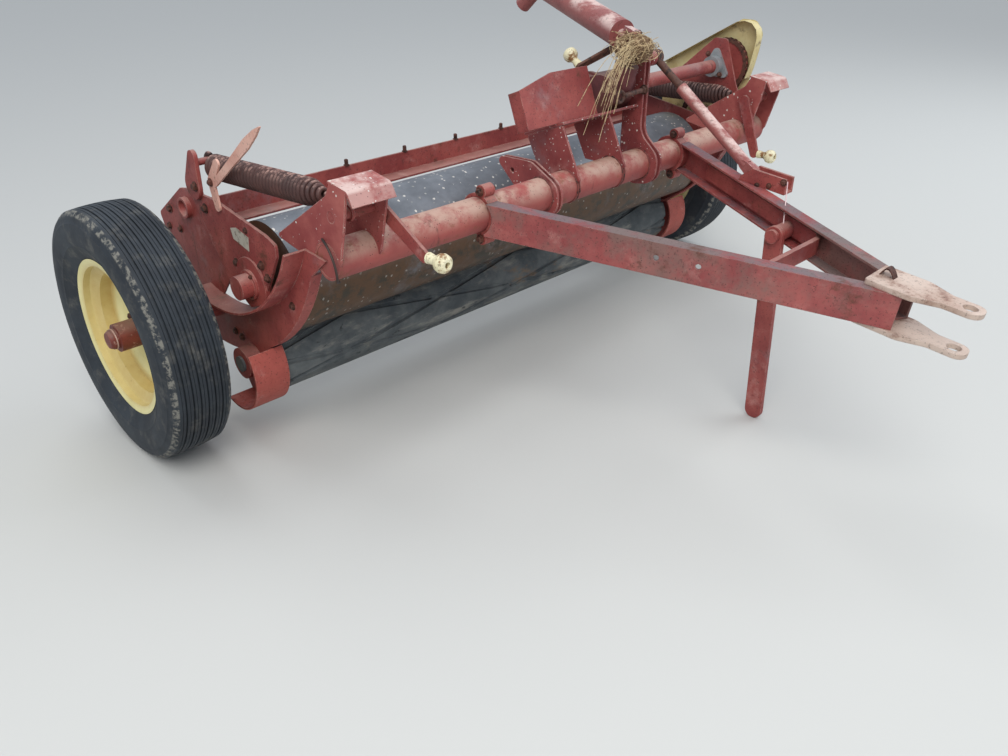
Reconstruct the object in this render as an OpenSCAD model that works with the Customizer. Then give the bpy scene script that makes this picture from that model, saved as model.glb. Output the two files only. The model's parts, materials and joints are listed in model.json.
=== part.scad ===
// Towed hay conditioner: two conditioning rolls between end frames on two road wheels,
// with a V tongue hinged on the main tube and a flat stand leg under it.
// Millimetres. X runs along the rolls (+X is the chain side), Y points to the rear with
// the hitch towards -Y, Z is up from the ground. Places along Y in the tables and the
// named values are measured from the wheel axle.

/* [Wheels] */
// Distance from an end frame's web to its wheel's centre plane
wheel_gap = 239; // [200:1:280]
// Outside radius of a tyre, which is also the axle height
tyre_r = 334; // [320:1:345]
// Section width of a tyre
tyre_w = 169; // [150:1:175]
// Radius of the rim where the tyre beads sit
bead_r = 193; // [185:1:200]
// Outside radius of the rim flange
rim_flange_r = 208; // [202:1:212]
// Width of the rim over its flanges
rim_w = 124; // [110:1:130]
// Sheet thickness of the rim and its disc
rim_t = 5; // [4:1:6]
// Radius of the hub barrel
hub_r = 37; // [34:1:40]
// Radius of the wheel spindle
spindle_r = 19; // [16:1:22]

/* [Rolls] */
// Radius of the smooth steel roll
upper_r = 150; // [140:1:152]
// Radius of the rubber roll
lower_r = 106; // [95:1:108]
// Number of grooves of each hand in the rubber roll
grooves = 6; // [4:1:8]
// Width of a groove at the rubber's face
groove_w = 16; // [10:1:24]
// Depth of a groove
groove_d = 8; // [4:1:12]
// Length of both roll faces
roll_len = 1710; // [1600:10:1730]
// Radius of the roll shafts
roll_shaft_r = 22; // [18:1:26]
// Wall of the steel roll
roll_wall = 8; // [5:1:12]

/* [Main frame] */
// Outside radius of the main tube
tube_r = 44.5; // [40:0.5:50]
// Wall of the main tube
tube_wall = 6; // [4:1:8]
// Gap from a roll's end to the outer face of an end frame's web
web_gap = 36; // [34:1:50]
// Thickness of the pressed end frames
frame_t = 6; // [4:1:8]
// Depth of the end frame flanges
flange_depth = 54; // [48:1:56]
// Thickness of the roll arm plates
arm_t = 8; // [6:1:10]
// Leg of the rear angle iron
angle_leg = 62; // [50:1:70]
// Thickness of the rear angle iron
angle_t = 6; // [5:1:8]

/* [Tongue] */
// Half spacing of the tongue legs at the main tube
leg_spread = 412; // [400:1:460]
// Height of a tongue leg channel
leg_h = 85; // [76:1:90]
// Width of a tongue leg channel
leg_w = 38; // [34:1:44]
// Wall of a tongue leg channel
leg_t = 6; // [5:1:8]
// Thickness of the hitch straps
strap_t = 12; // [10:1:14]
// Radius of the drawbar pin hole
hitch_hole_r = 16; // [12:1:18]
// Width of the stand leg bar
stand_w = 50; // [40:1:60]
// Thickness of the stand leg bar
stand_t = 14; // [10:1:18]
// Radius of the stand pivot pin
stand_pin_r = 10; // [8:1:12]

/* [Drive] */
// Radius of the cross shaft tube
cross_r = 22; // [18:1:26]
// Number of teeth of the cross shaft sprocket
drive_teeth = 26; // [22:1:29]
// Number of teeth of the roll sprocket
roll_teeth = 20; // [16:1:24]
// Pitch of the roller chain
chain_pitch = 19.05; // [17:0.05:20]
// Radius of the driveline shield tube
shield_r = 40; // [34:1:44]
// Length of the driveline shield tube
shield_len = 550; // [500:5:600]
// Wall of the driveline shield tube
shield_wall = 4; // [3:1:5]

/* [Springs] */
// Radius of a roll spring over its coils
spring_r = 33; // [28:1:34]
// Wire diameter of a roll spring
spring_wire = 13; // [11:0.1:14]

/* [Hidden] */
$fn = 48;
eps = 0.5;

// Running gap of a shaft in its bearing, and gap between parts that only pass each other
fit = 0.05;
seat = 0.3;
clear = 6;

// Tongue plane: its root in front of the main tube, its slope and its length to the strap tips
tongue_root = [-592, 603];
tongue_slope = 5.6;
tongue_len = 1043;
tip_y = tongue_root[0] - tongue_len * cos(tongue_slope)
    - (leg_h / 2 + seat + strap_t) * sin(tongue_slope);
// Moves the axle's place so that the origin lies under the middle of the whole machine
y_shift = -(tip_y + tyre_r) / 2;

// Main tube, roll and pivot axes as [y, z]
tube_at = [-540, 610];
upper_at = [-216, 464];
lower_at = [-135, 213];
axle_at = [0, tyre_r];
pivot_at = [112, 583];
cross_at = [-365, 793];
web_x = roll_len / 2 + web_gap;
wheel_x = web_x + wheel_gap;
flange_x = web_x + flange_depth;
// Inner face of a roll arm, one plate's thickness outside the web
arm_gap = 6;
arm_x = web_x + arm_gap;
rust_red = [0.52, 0.2, 0.18];
deep_red = [0.4, 0.14, 0.12];
steel = [0.42, 0.44, 0.47];
cream = [0.86, 0.8, 0.58];
pale_metal = [0.66, 0.57, 0.48];
rust_brown = [0.42, 0.2, 0.15];
rubber = [0.17, 0.19, 0.21];

// Geometry helpers

// Points of an arc about c from angle a0 to a1
function arc(c, r, a0, a1, n = 12) =
    [for (k = [0:n]) let (a = a0 + (a1 - a0) * k / n) [c[0] + r * cos(a), c[1] + r * sin(a)]];
function unit(v) = v / norm(v);
function wrap(a) = a > 180 ? a - 360 : a < -180 ? a + 360 : a;
function reversed(list) = [for (k = [len(list) - 1:-1:0]) list[k]];
// Outline of a link with round ends about a and b
function link(a, b, ra, rb, n = 14) =
    let (d = b - a, t = atan2(d[1], d[0]), k = acos((ra - rb) / norm(d)))
    concat(arc(a, ra, t + k, t + 360 - k, n), arc(b, rb, t - k, t + k, n));
// Outline with each corner [a, b, radius] rounded off
function rounded(p, n = 5) = [
    for (i = [0:len(p) - 1])
        let (c = [p[i][0], p[i][1]], q = p[(i + len(p) - 1) % len(p)], s = p[(i + 1) % len(p)])
        let (u = unit([q[0], q[1]] - c), v = unit([s[0], s[1]] - c), r = p[i][2])
        let (half = acos(max(-1, min(1, u * v))) / 2, m = c + unit(u + v) * r / sin(half))
        let (f = c + u * r / tan(half) - m, g = c + v * r / tan(half) - m)
        let (a0 = atan2(f[1], f[0]), turn = wrap(atan2(g[1], g[0]) - a0))
        for (k = [0:n]) m + r * [cos(a0 + turn * k / n), sin(a0 + turn * k / n)]
];

// Flat plate in the YZ plane from an outline of [y, z], its faces at x and x + t
module yz_plate(x, t) {
    translate([x, 0, 0]) rotate([90, 0, 90]) linear_extrude(t) children();
}
// Round bar along X from x0 to x1 about the place at = [y, z]
module bar_x(x0, x1, at, r) {
    translate([x0, at[0], at[1]]) rotate([0, 90, 0]) cylinder(r = r, h = x1 - x0);
}
// Puts what is drawn along +Z from the origin onto the line from a to b
module along(a, b) {
    d = b - a;
    translate(a) rotate([0, acos(d[2] / norm(d)), atan2(d[1], d[0])]) children();
}
// Moves from the axle's place to the frame whose origin is under the middle
module placed() { translate([0, y_shift, 0]) children(); }
// Draws for the +X side, or mirrored for the -X side
module on_side(s) { placed() mirror([s > 0 ? 0 : 1, 0, 0]) children(); }

// Wheels

shoulder_r = 22;
tread_w = tyre_w - 2 * shoulder_r + 6;
carcass_t = 14;
wall_h = tyre_r - bead_r;
// Section of the tyre as [radius, distance from the centre plane]
function tyre_half(sgn) = [
    [tyre_r, 0], [tyre_r - 1, sgn * tread_w / 4], [tyre_r - 4, sgn * tread_w / 2],
    [tyre_r - 0.1 * wall_h, sgn * (tread_w / 2 + 11)],
    [tyre_r - 0.24 * wall_h, sgn * (tyre_w / 2 - 3)], [tyre_r - 0.45 * wall_h, sgn * tyre_w / 2],
    [tyre_r - 0.68 * wall_h, sgn * (tyre_w / 2 - 8)],
    [rim_flange_r + 3, sgn * (rim_w / 2 - 4)], [bead_r + 1, sgn * (rim_w / 2 - rim_t - 1)]
];
function tyre_inner(sgn) = [
    [bead_r + 1, sgn * (rim_w / 2 - rim_t - 1 - carcass_t)],
    [tyre_r - 0.65 * wall_h, sgn * (tyre_w / 2 - 10 - carcass_t)],
    [tyre_r - 0.44 * wall_h, sgn * (tyre_w / 2 - carcass_t)],
    [tyre_r - 0.17 * wall_h, sgn * (tread_w / 2 - 4)], [tyre_r - 0.13 * wall_h, 0]
];
module tyre(s) {
    color(rubber) on_side(s)
        translate([wheel_x, axle_at[0], axle_at[1]]) rotate([0, 90, 0])
            rotate_extrude($fn = 96)
                polygon(concat(tyre_half(1), tyre_inner(1), reversed(tyre_inner(-1)),
                    reversed(tyre_half(-1))));
}

disc_x = -18;
hub_out = 60;
cap_r = 26;
cap_out = 82;
hub_in = -62;
hub_flange_r = 76;
hub_flange_t = 10;
rim_well_r = 168;
rim_well_w = 44;
// Section of the pressed wheel as [radius, distance outward]: drop centre rim and dished disc
function rim_section() = concat(
    [for (e = [-1, 1]) each [for (k = [0:3]) [
        [rim_flange_r, bead_r, bead_r, rim_well_r][e < 0 ? k : 3 - k],
        e * [rim_w / 2, rim_w / 2 - rim_t, rim_well_w / 2 + 16, rim_well_w / 2][e < 0 ? k : 3 - k]
    ]]],
    [[rim_flange_r - rim_t, rim_w / 2], [bead_r - rim_t, rim_w / 2 - rim_t],
        [bead_r - rim_t, rim_well_w / 2 + 18], [rim_well_r - rim_t, rim_well_w / 2 + 3],
        [rim_well_r - rim_t, disc_x + 14], [rim_well_r - 30, disc_x + 12],
        [rim_well_r - 50, disc_x + rim_t], [hub_r + fit, disc_x + rim_t], [hub_r + fit, disc_x],
        [rim_well_r - 48, disc_x], [rim_well_r - 28, disc_x + 7], [rim_well_r - rim_t, disc_x + 6],
        [rim_well_r - rim_t, -rim_well_w / 2 - 3], [bead_r - rim_t, -rim_well_w / 2 - 18],
        [bead_r - rim_t, -rim_w / 2 + rim_t], [rim_flange_r - rim_t, -rim_w / 2]]);
module rim(s) {
    color(cream) on_side(s) translate([wheel_x, axle_at[0], axle_at[1]]) rotate([0, 90, 0])
        rotate_extrude($fn = 96) polygon(rim_section());
}
// Hub barrel with its flange behind the disc and a domed cap
module hub(s) {
    color(rust_brown) on_side(s) translate([wheel_x, axle_at[0], axle_at[1]]) rotate([0, 90, 0])
        difference() {
            union() {
                translate([0, 0, hub_in]) cylinder(r = hub_r, h = hub_out - hub_in);
                translate([0, 0, disc_x - fit - hub_flange_t])
                    cylinder(r = hub_flange_r, h = hub_flange_t);
                translate([0, 0, hub_out - eps]) cylinder(r = cap_r, h = cap_out - hub_out - 8);
                translate([0, 0, cap_out - 16]) intersection() {
                    sphere(r = cap_r);
                    cylinder(r = cap_r, h = 16);
                }
            }
            translate([0, 0, hub_in - eps])
                cylinder(r = spindle_r + fit, h = hub_out - hub_in - 8);
        }
}

spindle_end = wheel_x + hub_out - 12;
axle_r = spindle_r + 9;
module spindles() {
    color(deep_red) for (s = [-1, 1]) on_side(s) {
        bar_x(web_x, spindle_end, axle_at, spindle_r);
        bar_x(web_x, wheel_x + hub_in - clear, axle_at, axle_r);
    }
}

// Rolls

roll_half = roll_len / 2;
upper_end_x = arm_x + 34;
// Room in the right bearing cap past the shaft's end
arm_shaft_end = 2;
// Reach of the lower bearings inward and outward from the web's outer face
bearing_in = 12;
bearing_out = 40;
lower_end_x = web_x + bearing_out + clear;
sprocket_x = flange_x + 10;
sprocket_t = 9;
tooth_h = 5;
function pitch_r(teeth) = chain_pitch / 2 / sin(180 / teeth);
// Sprocket disc with flat topped teeth
module sprocket(teeth) {
    step = 360 / teeth;
    tooth = [[-0.42, -1], [-0.16, 1], [0.16, 1], [0.42, -1]];
    linear_extrude(sprocket_t, center = true)
        polygon([for (k = [0:teeth - 1], e = tooth)
            (pitch_r(teeth) + e[1] * tooth_h) * [cos((k + e[0]) * step), sin((k + e[0]) * step)]]);
}

module upper_roll() {
    color(steel) placed() {
        difference() {
            bar_x(-roll_half, roll_half, upper_at, upper_r, $fn = 96);
            bar_x(-roll_half + 12, roll_half - 12, upper_at, upper_r - roll_wall, $fn = 96);
        }
        difference() {
            bar_x(-upper_end_x, sprocket_x + 8, upper_at, roll_shaft_r);
            bar_x(-roll_half + 12.5, roll_half - 12.5, upper_at, roll_shaft_r + 1);
        }
        translate([sprocket_x, upper_at[0], upper_at[1]]) rotate([0, 90, 0])
            sprocket(roll_teeth);
    }
}

// Rubber roll with helical grooves of both hands, on a steel shaft
groove_turn = 150;
groove_slices = 18;
// Start of the other hand's grooves, as a share of the spacing
groove_offset = 0.37;
// Cutter of one groove from its floor to above the face; the other hand's is shallower
module groove(start, hand) {
    floor_r = lower_r - groove_d * (hand > 0 ? 1 : 0.75);
    rotate([0, 0, start])
        linear_extrude(roll_len + 2, center = true, twist = hand * groove_turn,
            slices = groove_slices, $fn = 4)
            polygon([[floor_r, groove_w / 4], [lower_r + 3, groove_w / 2 + 2],
                [lower_r + 3, -groove_w / 2 - 2], [floor_r, -groove_w / 4]]);
}
module lower_roll() {
    color(rubber) placed() {
        difference() {
            bar_x(-roll_half, roll_half, lower_at, lower_r, $fn = 72);
            translate([0, lower_at[0], lower_at[1]]) rotate([0, 90, 0])
                for (k = [0:grooves - 1], hand = [1, -1])
                    groove(360 * (k + (hand > 0 ? 0 : groove_offset)) / grooves, hand);
        }
        bar_x(-lower_end_x, lower_end_x, lower_at, roll_shaft_r);
    }
}

// End frames

// Arcs of the curved band under the rolls: its outer edge and the lip along its inner edge
outer_c = [56, 782];
inner_c = [-59, 804];
inner_arc_r = 438;
band_swell = 139;
outer_arc_r = inner_arc_r + band_swell;
horn_a = 203;
heel_a = 275;
horn_in_a = 205;
heel_in_a = 285;
horn_tip = [-542, 612];
function crescent() = concat(
    arc(outer_c, outer_arc_r, horn_a, heel_a, 24),
    reversed(arc(inner_c, inner_arc_r, horn_in_a, heel_in_a, 24)), [horn_tip]);
function band(c, r, t, a0, a1, n = 24) =
    concat(arc(c, r, a0, a1, n), reversed(arc(c, r - t, a0, a1, n)));
bearing_r = 44;
// Lug for the lower bearing, its round edge inside the roll guard
guard_r = lower_r + 12;
guard_t = 6;
guard_a0 = 146;
guard_a1 = 292;
lower_lug = concat(arc(lower_at, guard_r - seat, guard_a0, guard_a1, 20),
    [[-45, 180], [-50, 300], [-215, 335]]);
// Rear plate, in one with the web, from the heel up to the tube stub, as [y, z, radius]
rear_plate = [
    [15, 655, 6], [92, 640, 8], [137, 631, 14], [299, 526, 12], [285, 490, 20], [120, 330, 50],
    [20, 330, 6], [-70, 430, 6]
];
stub_r = 29;
stub_bore = 22;
stub_out = 14;
module side_frame(s) {
    color(rust_red) on_side(s) difference() {
        union() {
            yz_plate(web_x - frame_t, frame_t) {
                polygon(crescent());
                polygon(lower_lug);
                polygon(rounded(rear_plate));
            }
            yz_plate(guard_x, web_x - guard_x)
                polygon(band(outer_c, outer_arc_r, frame_t, horn_a, heel_a));
            yz_plate(web_x - frame_t, flange_depth + frame_t)
                polygon(band(inner_c, inner_arc_r + frame_t, frame_t, horn_in_a, heel_in_a));
            bar_x(web_x - bearing_in, web_x + bearing_out, lower_at, bearing_r);
            bar_x(web_x - frame_t, web_x + stub_out, pivot_at, stub_r);
        }
        bar_x(web_x - 2 * bearing_in, web_x + 2 * bearing_out, lower_at, roll_shaft_r + fit);
        bar_x(web_x - 2 * bearing_in, web_x + stub_out + 1, pivot_at, stub_bore);
    }
}

module main_tube() {
    color(rust_red) placed() difference() {
        bar_x(-web_x + frame_t, web_x - frame_t, tube_at, tube_r);
        bar_x(-web_x, web_x, tube_at, tube_r - tube_wall);
    }
}

rear_bar_y = 30;
rear_bar_z = 622;
// Rear angle iron, its upright leg behind and its other leg forward at the foot
module rear_bar() {
    color(rust_red) placed()
        yz_plate(-web_x + frame_t + seat, 2 * (web_x - frame_t - seat)) polygon([
            [rear_bar_y, rear_bar_z], [rear_bar_y, rear_bar_z - angle_leg],
            [rear_bar_y - angle_leg, rear_bar_z - angle_leg],
            [rear_bar_y - angle_leg, rear_bar_z - angle_leg + angle_t],
            [rear_bar_y - angle_t, rear_bar_z - angle_leg + angle_t],
            [rear_bar_y - angle_t, rear_bar_z]
        ]);
}

// Arm plate that carries the upper roll, as [y, z, corner radius]
arm_plate = [
    [48, 648, 8], [-83, 650, 4], [-310, 616, 6], [-354, 602, 12], [-353, 572, 10],
    [-326, 528, 20], [-284, 462, 30], [-240, 422, 20], [-180, 418, 20], [-96, 434, 6]
];
arm_pad_r = 70;
arm_pad_t = 5;
arm_bearing_in = 20;
cap_flange_r = 39;
cap_flange_t = 12;
bearing_cap_r = 31;
bearing_cap_out = flange_x + 5;
lug_top = [-16, 748];
lug_foot = [5, 670];
lug_top_r = 17;
lug_foot_r = 36;
lug_t = 10;
// Pin for the spring's hook in the lug, and how far it reaches past the spring's axis
function hook_pin(s) = lug_top - [0, s > 0 ? 45 : 16];
hook_pin_r = 9;
pin_past = 16;
module roll_arm(s) {
    color(rust_red) on_side(s) difference() {
        union() {
            yz_plate(arm_x, arm_t) polygon(rounded(arm_plate));
            yz_plate(arm_x, arm_t + arm_pad_t) intersection() {
                translate(upper_at) circle(r = arm_pad_r, $fn = 64);
                translate(inner_c) circle(r = inner_arc_r - clear, $fn = 128);
            }
            bar_x(arm_x - arm_bearing_in, arm_x + arm_t, upper_at, bearing_r);
            if (s < 0) {
                bar_x(arm_x + arm_t, arm_x + arm_t + cap_flange_t, upper_at, cap_flange_r);
                bar_x(arm_x + arm_t, bearing_cap_out, upper_at, bearing_cap_r);
            }
            yz_plate(arm_x + arm_t - 1, lug_t + 1)
                polygon(link(lug_top, lug_foot, lug_top_r, lug_foot_r));
            bar_x(spring_a(s)[0] - pin_past, arm_x + arm_t + lug_t - 1, hook_pin(s), hook_pin_r);
        }
        bar_x(arm_x - 2 * arm_bearing_in, upper_end_x + arm_shaft_end, upper_at,
            roll_shaft_r + fit);
    }
}

guard_x = roll_half + 6;
guard_w = 100;
module roll_guards() {
    color([0.62, 0.26, 0.2]) for (s = [-1, 1]) on_side(s) yz_plate(guard_x, guard_w)
        polygon(band(lower_at, guard_r + guard_t, guard_t, guard_a0, guard_a1));
}

// Spring gear over each end

crank_at = [-572, 720];
function crank_tip(s) = s > 0 ? [-634, 560] : [-724, 640];
// Ends of the spring's axis; the +X spring hangs lower on its lug and its crank is let down
spring_a_in = 25;
spring_b_in = 53;
wire_r = 6;
function spring_a(s) = [web_x - spring_a_in, hook_pin(s)[0] + wire_r,
    hook_pin(s)[1] - hook_pin_r - wire_r - eps];
function spring_b(s) = [web_x - spring_b_in, crank_at[0] + 32, crank_at[1] + (s > 0 ? -5 : 22)];
lever_r = 12;
hook_a = 18;
function hook_b(s) = s > 0 ? 66 : 48;
// Section of the close wound coils: one scallop to each coil over a straight inner wall
function coil_section(coils, pitch) = concat(
    [for (k = [0:coils - 1], a = [-66:44:66])
        [spring_r - spring_wire / 2 * (1 - cos(a)), hook_a + (k + 0.5) * pitch + pitch / 2 * sin(a)]],
    [[spring_r - spring_wire, hook_a + coils * pitch], [spring_r - spring_wire, hook_a]]);
module spring(s) {
    span = norm(spring_b(s) - spring_a(s));
    coils = floor((span - hook_a - hook_b(s)) / spring_wire);
    pitch = (span - hook_a - hook_b(s)) / coils;
    color([0.36, 0.22, 0.17]) on_side(s) along(spring_a(s), spring_b(s)) {
        rotate_extrude() polygon(coil_section(coils, pitch));
        cylinder(r = wire_r, h = hook_a + 4);
        translate([0, 0, span - hook_b(s) - 4])
            cylinder(r = wire_r, h = hook_b(s) + 4 - lever_r - seat);
        for (z = [hook_a, hook_a + coils * pitch - wire_r])
            translate([0, 0, z]) cylinder(r = spring_r - spring_wire + 2, h = wire_r);
    }
}

bracket_w = 121;
bracket_in = web_x - bracket_w;
bracket_t = 6;
// Side plate of a crank bracket as [y, z, corner radius]
bracket_side = [
    [-335, 620, 6], [-560, 765, 20], [-578, 795, 3], [-634, 787, 3], [-622, 730, 10],
    [-592, 620, 6], [-570, 590, 4], [-510, 590, 4]
];
// Folded sheet over the bracket, its outside from the rear edge to the curled front edge
hood_outside = [[-572, 800, 1], [-640, 790, 14], [-658, 758, 1]];
hood_t = 5;
module crank_bracket(s) {
    color(rust_red) on_side(s) difference() {
        union() {
            for (x = [bracket_in, web_x - frame_t - bracket_t])
                yz_plate(x, bracket_t) polygon(rounded(bracket_side));
            yz_plate(bracket_in, web_x - frame_t - bracket_in) polygon(rounded(concat(hood_outside,
                [for (k = [2:-1:0]) hood_outside[k] + [[0, -hood_t, 0], [hood_t, -hood_t, -4],
                    [hood_t, 1, 0]][k]])));
        }
        bar_x(bracket_in - 1, web_x + 1, tube_at, tube_r + seat);
        bar_x(bracket_in - 1, web_x - frame_t + 1, crank_at, crank_r + fit);
    }
}

crank_r = 13;
crank_boss_r = 19;
crank_eye_r = 15;
crank_t = 8;
crank_x = bracket_in - crank_t;
module pressure_crank(s) {
    color(rust_red) on_side(s) {
        bar_x(crank_x, web_x - frame_t, crank_at, crank_r);
        yz_plate(crank_x - crank_t, crank_t) polygon(link(crank_at, crank_tip(s), crank_boss_r, crank_eye_r));
        yz_plate(spring_b(s)[0] - crank_t / 2, crank_t)
            polygon(link(crank_at, [spring_b(s)[1], spring_b(s)[2]], crank_boss_r, lever_r));
    }
}
module crank_knobs() {
    color(cream) for (s = [-1, 1]) on_side(s)
        translate([crank_x - crank_t / 2, crank_tip(s)[0] - crank_eye_r - fit, crank_tip(s)[1]])
            rotate([90, 0, 0]) knob();
}

// Bell crank with a pointed blade on the right hand roll arm
latch_pin = [-95, 700];
latch_foot = [-107, 640];
latch_top = [-137, 754];
blade_root = [-115, 702];
blade_tip = [-367, 880];
latch_t = 6;
// Half widths of the blade along it, as [share of its length, half width]
blade_form = [[0, 9], [0.35, 10], [0.72, 13], [0.9, 8], [1, 1]];
module latch_lever() {
    run = blade_tip - blade_root;
    across = unit([-run[1], run[0]]);
    color([0.75, 0.5, 0.45]) on_side(-1) yz_plate(arm_x + arm_t + seat, latch_t) {
        polygon([for (e = [1, -1], k = [0:4]) let (b = blade_form[e > 0 ? k : 4 - k])
            blade_root + b[0] * run + e * b[1] * across]);
        polygon(link(latch_pin, latch_top, 15, 11));
        polygon(link(latch_pin, latch_foot, 15, 12));
        polygon(link(latch_pin, blade_root, 15, 9));
    }
}

// Tongue

// Draws in the tongue plane: local origin at the root, -Y to the hitch
module tongue_plane() {
    placed() translate([0, tongue_root[0], tongue_root[1]]) rotate([tongue_slope, 0, 0]) children();
}
// Half spacing of the legs at the hitch and how far they end short of the strap tips
leg_nose = 27;
leg_short = 163;
leg_tip = [leg_nose, leg_short - tongue_len];
leg_run = leg_tip - [leg_spread, 0];
leg_yaw = atan2(leg_run[1], leg_run[0]);
leg_len = norm(leg_run);
// Places across the machine of a leg's middle and of the inside of its web at the local place y
function leg_x(y) = leg_spread + leg_run[0] * y / leg_run[1];
function leg_web(y) = leg_x(y) - (leg_w / 2 - leg_t) / sin(leg_yaw);
leg_holes = [[417, 4], [518, 5]];
module tongue_leg(s) {
    color(rust_red) mirror([s > 0 ? 0 : 1, 0, 0]) difference() {
        tongue_plane() translate([leg_spread, 0, 0]) rotate([0, 0, leg_yaw]) difference() {
            translate([-24, -leg_w / 2, -leg_h / 2]) cube([leg_len + 24, leg_w, leg_h]);
            translate([-25, -leg_w / 2 - 1, -leg_h / 2 + leg_t])
                cube([leg_len + 26, leg_w - leg_t + 1, leg_h - 2 * leg_t]);
            for (h = leg_holes)
                translate([h[0], leg_w / 2 + 1, h[1]]) rotate([90, 0, 0])
                    cylinder(r = 7, h = leg_t + 2);
        }
        placed() bar_x(0, web_x, tube_at, tube_r + clamp_t + seat);
    }
}

clamp_w = 34;
clamp_t = 10;
clamp_ear_r = 17;
module tongue_clamps() {
    color(rust_red) for (s = [-1, 1]) on_side(s) difference() {
        union() {
            bar_x(leg_spread - clamp_w / 2, leg_spread + clamp_w / 2, tube_at, tube_r + clamp_t);
            for (e = [1, -1])
                bar_x(leg_spread - clamp_w / 2, leg_spread + clamp_w / 2,
                    tube_at + [-14, e * (tube_r + clamp_ear_r)], clamp_ear_r);
        }
        bar_x(0, web_x, tube_at, tube_r + seat);
    }
}

cross_strap_t = 12;
cross_strap_h = 46;
strap_start = -110;
strap_turn = -520;
strap_cross = -598;
// Inner face of the bent bar where it runs along the left leg
function strap_face(y) = leg_web(y) - 2 * seat - cross_strap_t;
// Flat bar bent from inside the left leg across into the right leg
module cross_strap() {
    a = leg_web(strap_start) - seat;
    b = leg_web(strap_turn) - seat;
    end = [for (y = [strap_cross, strap_cross + cross_strap_t]) seat - leg_web(y)];
    color([0.5, 0.25, 0.22]) tongue_plane() translate([0, 0, -cross_strap_h / 2])
        linear_extrude(cross_strap_h) polygon(rounded([
            [a, strap_start, 1], [b, strap_turn, 8], [b - 34, strap_cross, 46],
            [end[0], strap_cross, 1], [end[1], strap_cross + cross_strap_t, 1],
            [b - 40, strap_cross + cross_strap_t, 34], [b - cross_strap_t, strap_turn, 8],
            [a - cross_strap_t, strap_start, 1]
        ]));
}

hole_y = -tongue_len + 31;
// Outline of a hitch strap as [x, distance from its tip, corner radius]
strap_outline = [
    [-55, 243, 6], [55, 243, 6], [55, 138, 40], [29, 78, 30], [29, 0, 26], [-29, 0, 26],
    [-29, 78, 30], [-55, 138, 40]
];
module hitch_straps() {
    color(pale_metal) for (z = [leg_h / 2 + seat, -leg_h / 2 - seat - strap_t])
        tongue_plane() translate([0, -tongue_len, z]) difference() {
            linear_extrude(strap_t) polygon(rounded(strap_outline));
            translate([0, hole_y + tongue_len, -1]) cylinder(r = hitch_hole_r, h = strap_t + 2);
        }
}

// Stand leg, swung down to the ground

stand_at = [-1070, 546];
stand_x = 128;
stand_foot_y = -1094;
stand_hub_x = 240;
stand_hub_r = 22;
// Collar on the pin outside the leg
pivot_cap = 14;
pivot_cap_r = 18;
module stand_leg() {
    color(rust_red) placed() difference() {
        yz_plate(stand_x, stand_t)
            polygon(link(stand_at, [stand_foot_y, stand_w / 2], stand_w / 2, stand_w / 2));
        bar_x(stand_x - 1, stand_x + stand_t + 1, stand_at, stand_pin_r + fit);
    }
}
module stand_pivot() {
    color(rust_red) placed() {
        bar_x(stand_x - pivot_cap, stand_x + stand_t + 4, stand_at, stand_pin_r);
        difference() {
            bar_x(stand_x + stand_t + 2, stand_hub_x, stand_at, stand_hub_r);
            translate([0, tongue_root[0], tongue_root[1]]) rotate([tongue_slope, 0, 0])
                translate([0, 0, -leg_h]) linear_extrude(2 * leg_h) polygon([
                    [strap_face(strap_turn), strap_turn], [strap_face(strap_start), strap_start],
                    [leg_spread, strap_start], [leg_spread, strap_turn]
                ]);
        }
        bar_x(stand_x - pivot_cap, stand_x - 2, stand_at, pivot_cap_r);
    }
}

// Screw strut that sets the tongue's height

strut_foot_y = -893;
// How far outward of the left leg's middle the strut's foot stands
strut_set = 19.7;
strut_x = leg_x(strut_foot_y - tongue_root[0]) + strut_set;
trunnion_x = 334;
strut_top = [trunnion_x, -503, 899];
strut_foot = [strut_x, strut_foot_y, 640];
strut_len = norm(strut_top - strut_foot);
screw_r = 11;
strut_tube_r = 17;
eye_w = 26;
trunnion_r = 12;
trunnion_gap = 2.5;
screw_in = 150;
sleeve_len = 340;
sleeve_floor = 60;
sleeve_start = 30;
crank_shaft_len = 98;
// Crank arm as [down, across] in the plane square to the screw, and its thickness
crank_arm = [90, 184];
crank_arm_t = 7;
// Spool shaped knob on the end of a crank, standing along +Z
module knob() {
    rotate_extrude() polygon([
        [0, 0], [13, 0], [12, 9], [10, 22], [14, 30], [20, 36], [22, 45], [20, 55], [13, 61],
        [7, 61], [7, 48], [0, 48]
    ]);
}
module strut_screw() {
    color([0.3, 0.2, 0.17]) placed() difference() {
        union() {
            along(strut_foot, strut_top) {
                translate([0, 0, screw_in]) cylinder(r = screw_r, h = strut_len - screw_in);
                translate([0, 0, strut_len]) cylinder(r = screw_r, h = crank_shaft_len);
                translate([0, 0, strut_len + crank_shaft_len - crank_arm_t])
                    linear_extrude(crank_arm_t) polygon(link([0, 0], crank_arm, 17, 12));
            }
            bar_x(trunnion_x - eye_w / 2, trunnion_x + eye_w / 2, [strut_top[1], strut_top[2]],
                trunnion_r + trunnion_gap + 7);
        }
        bar_x(trunnion_x - eye_w, trunnion_x + eye_w, [strut_top[1], strut_top[2]],
            trunnion_r + trunnion_gap);
    }
}
module strut_knob() {
    color(cream) placed() along(strut_foot, strut_top)
        translate([crank_arm[0], crank_arm[1], strut_len + crank_shaft_len + fit]) knob();
}
strut_pin_r = 8;
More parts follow.
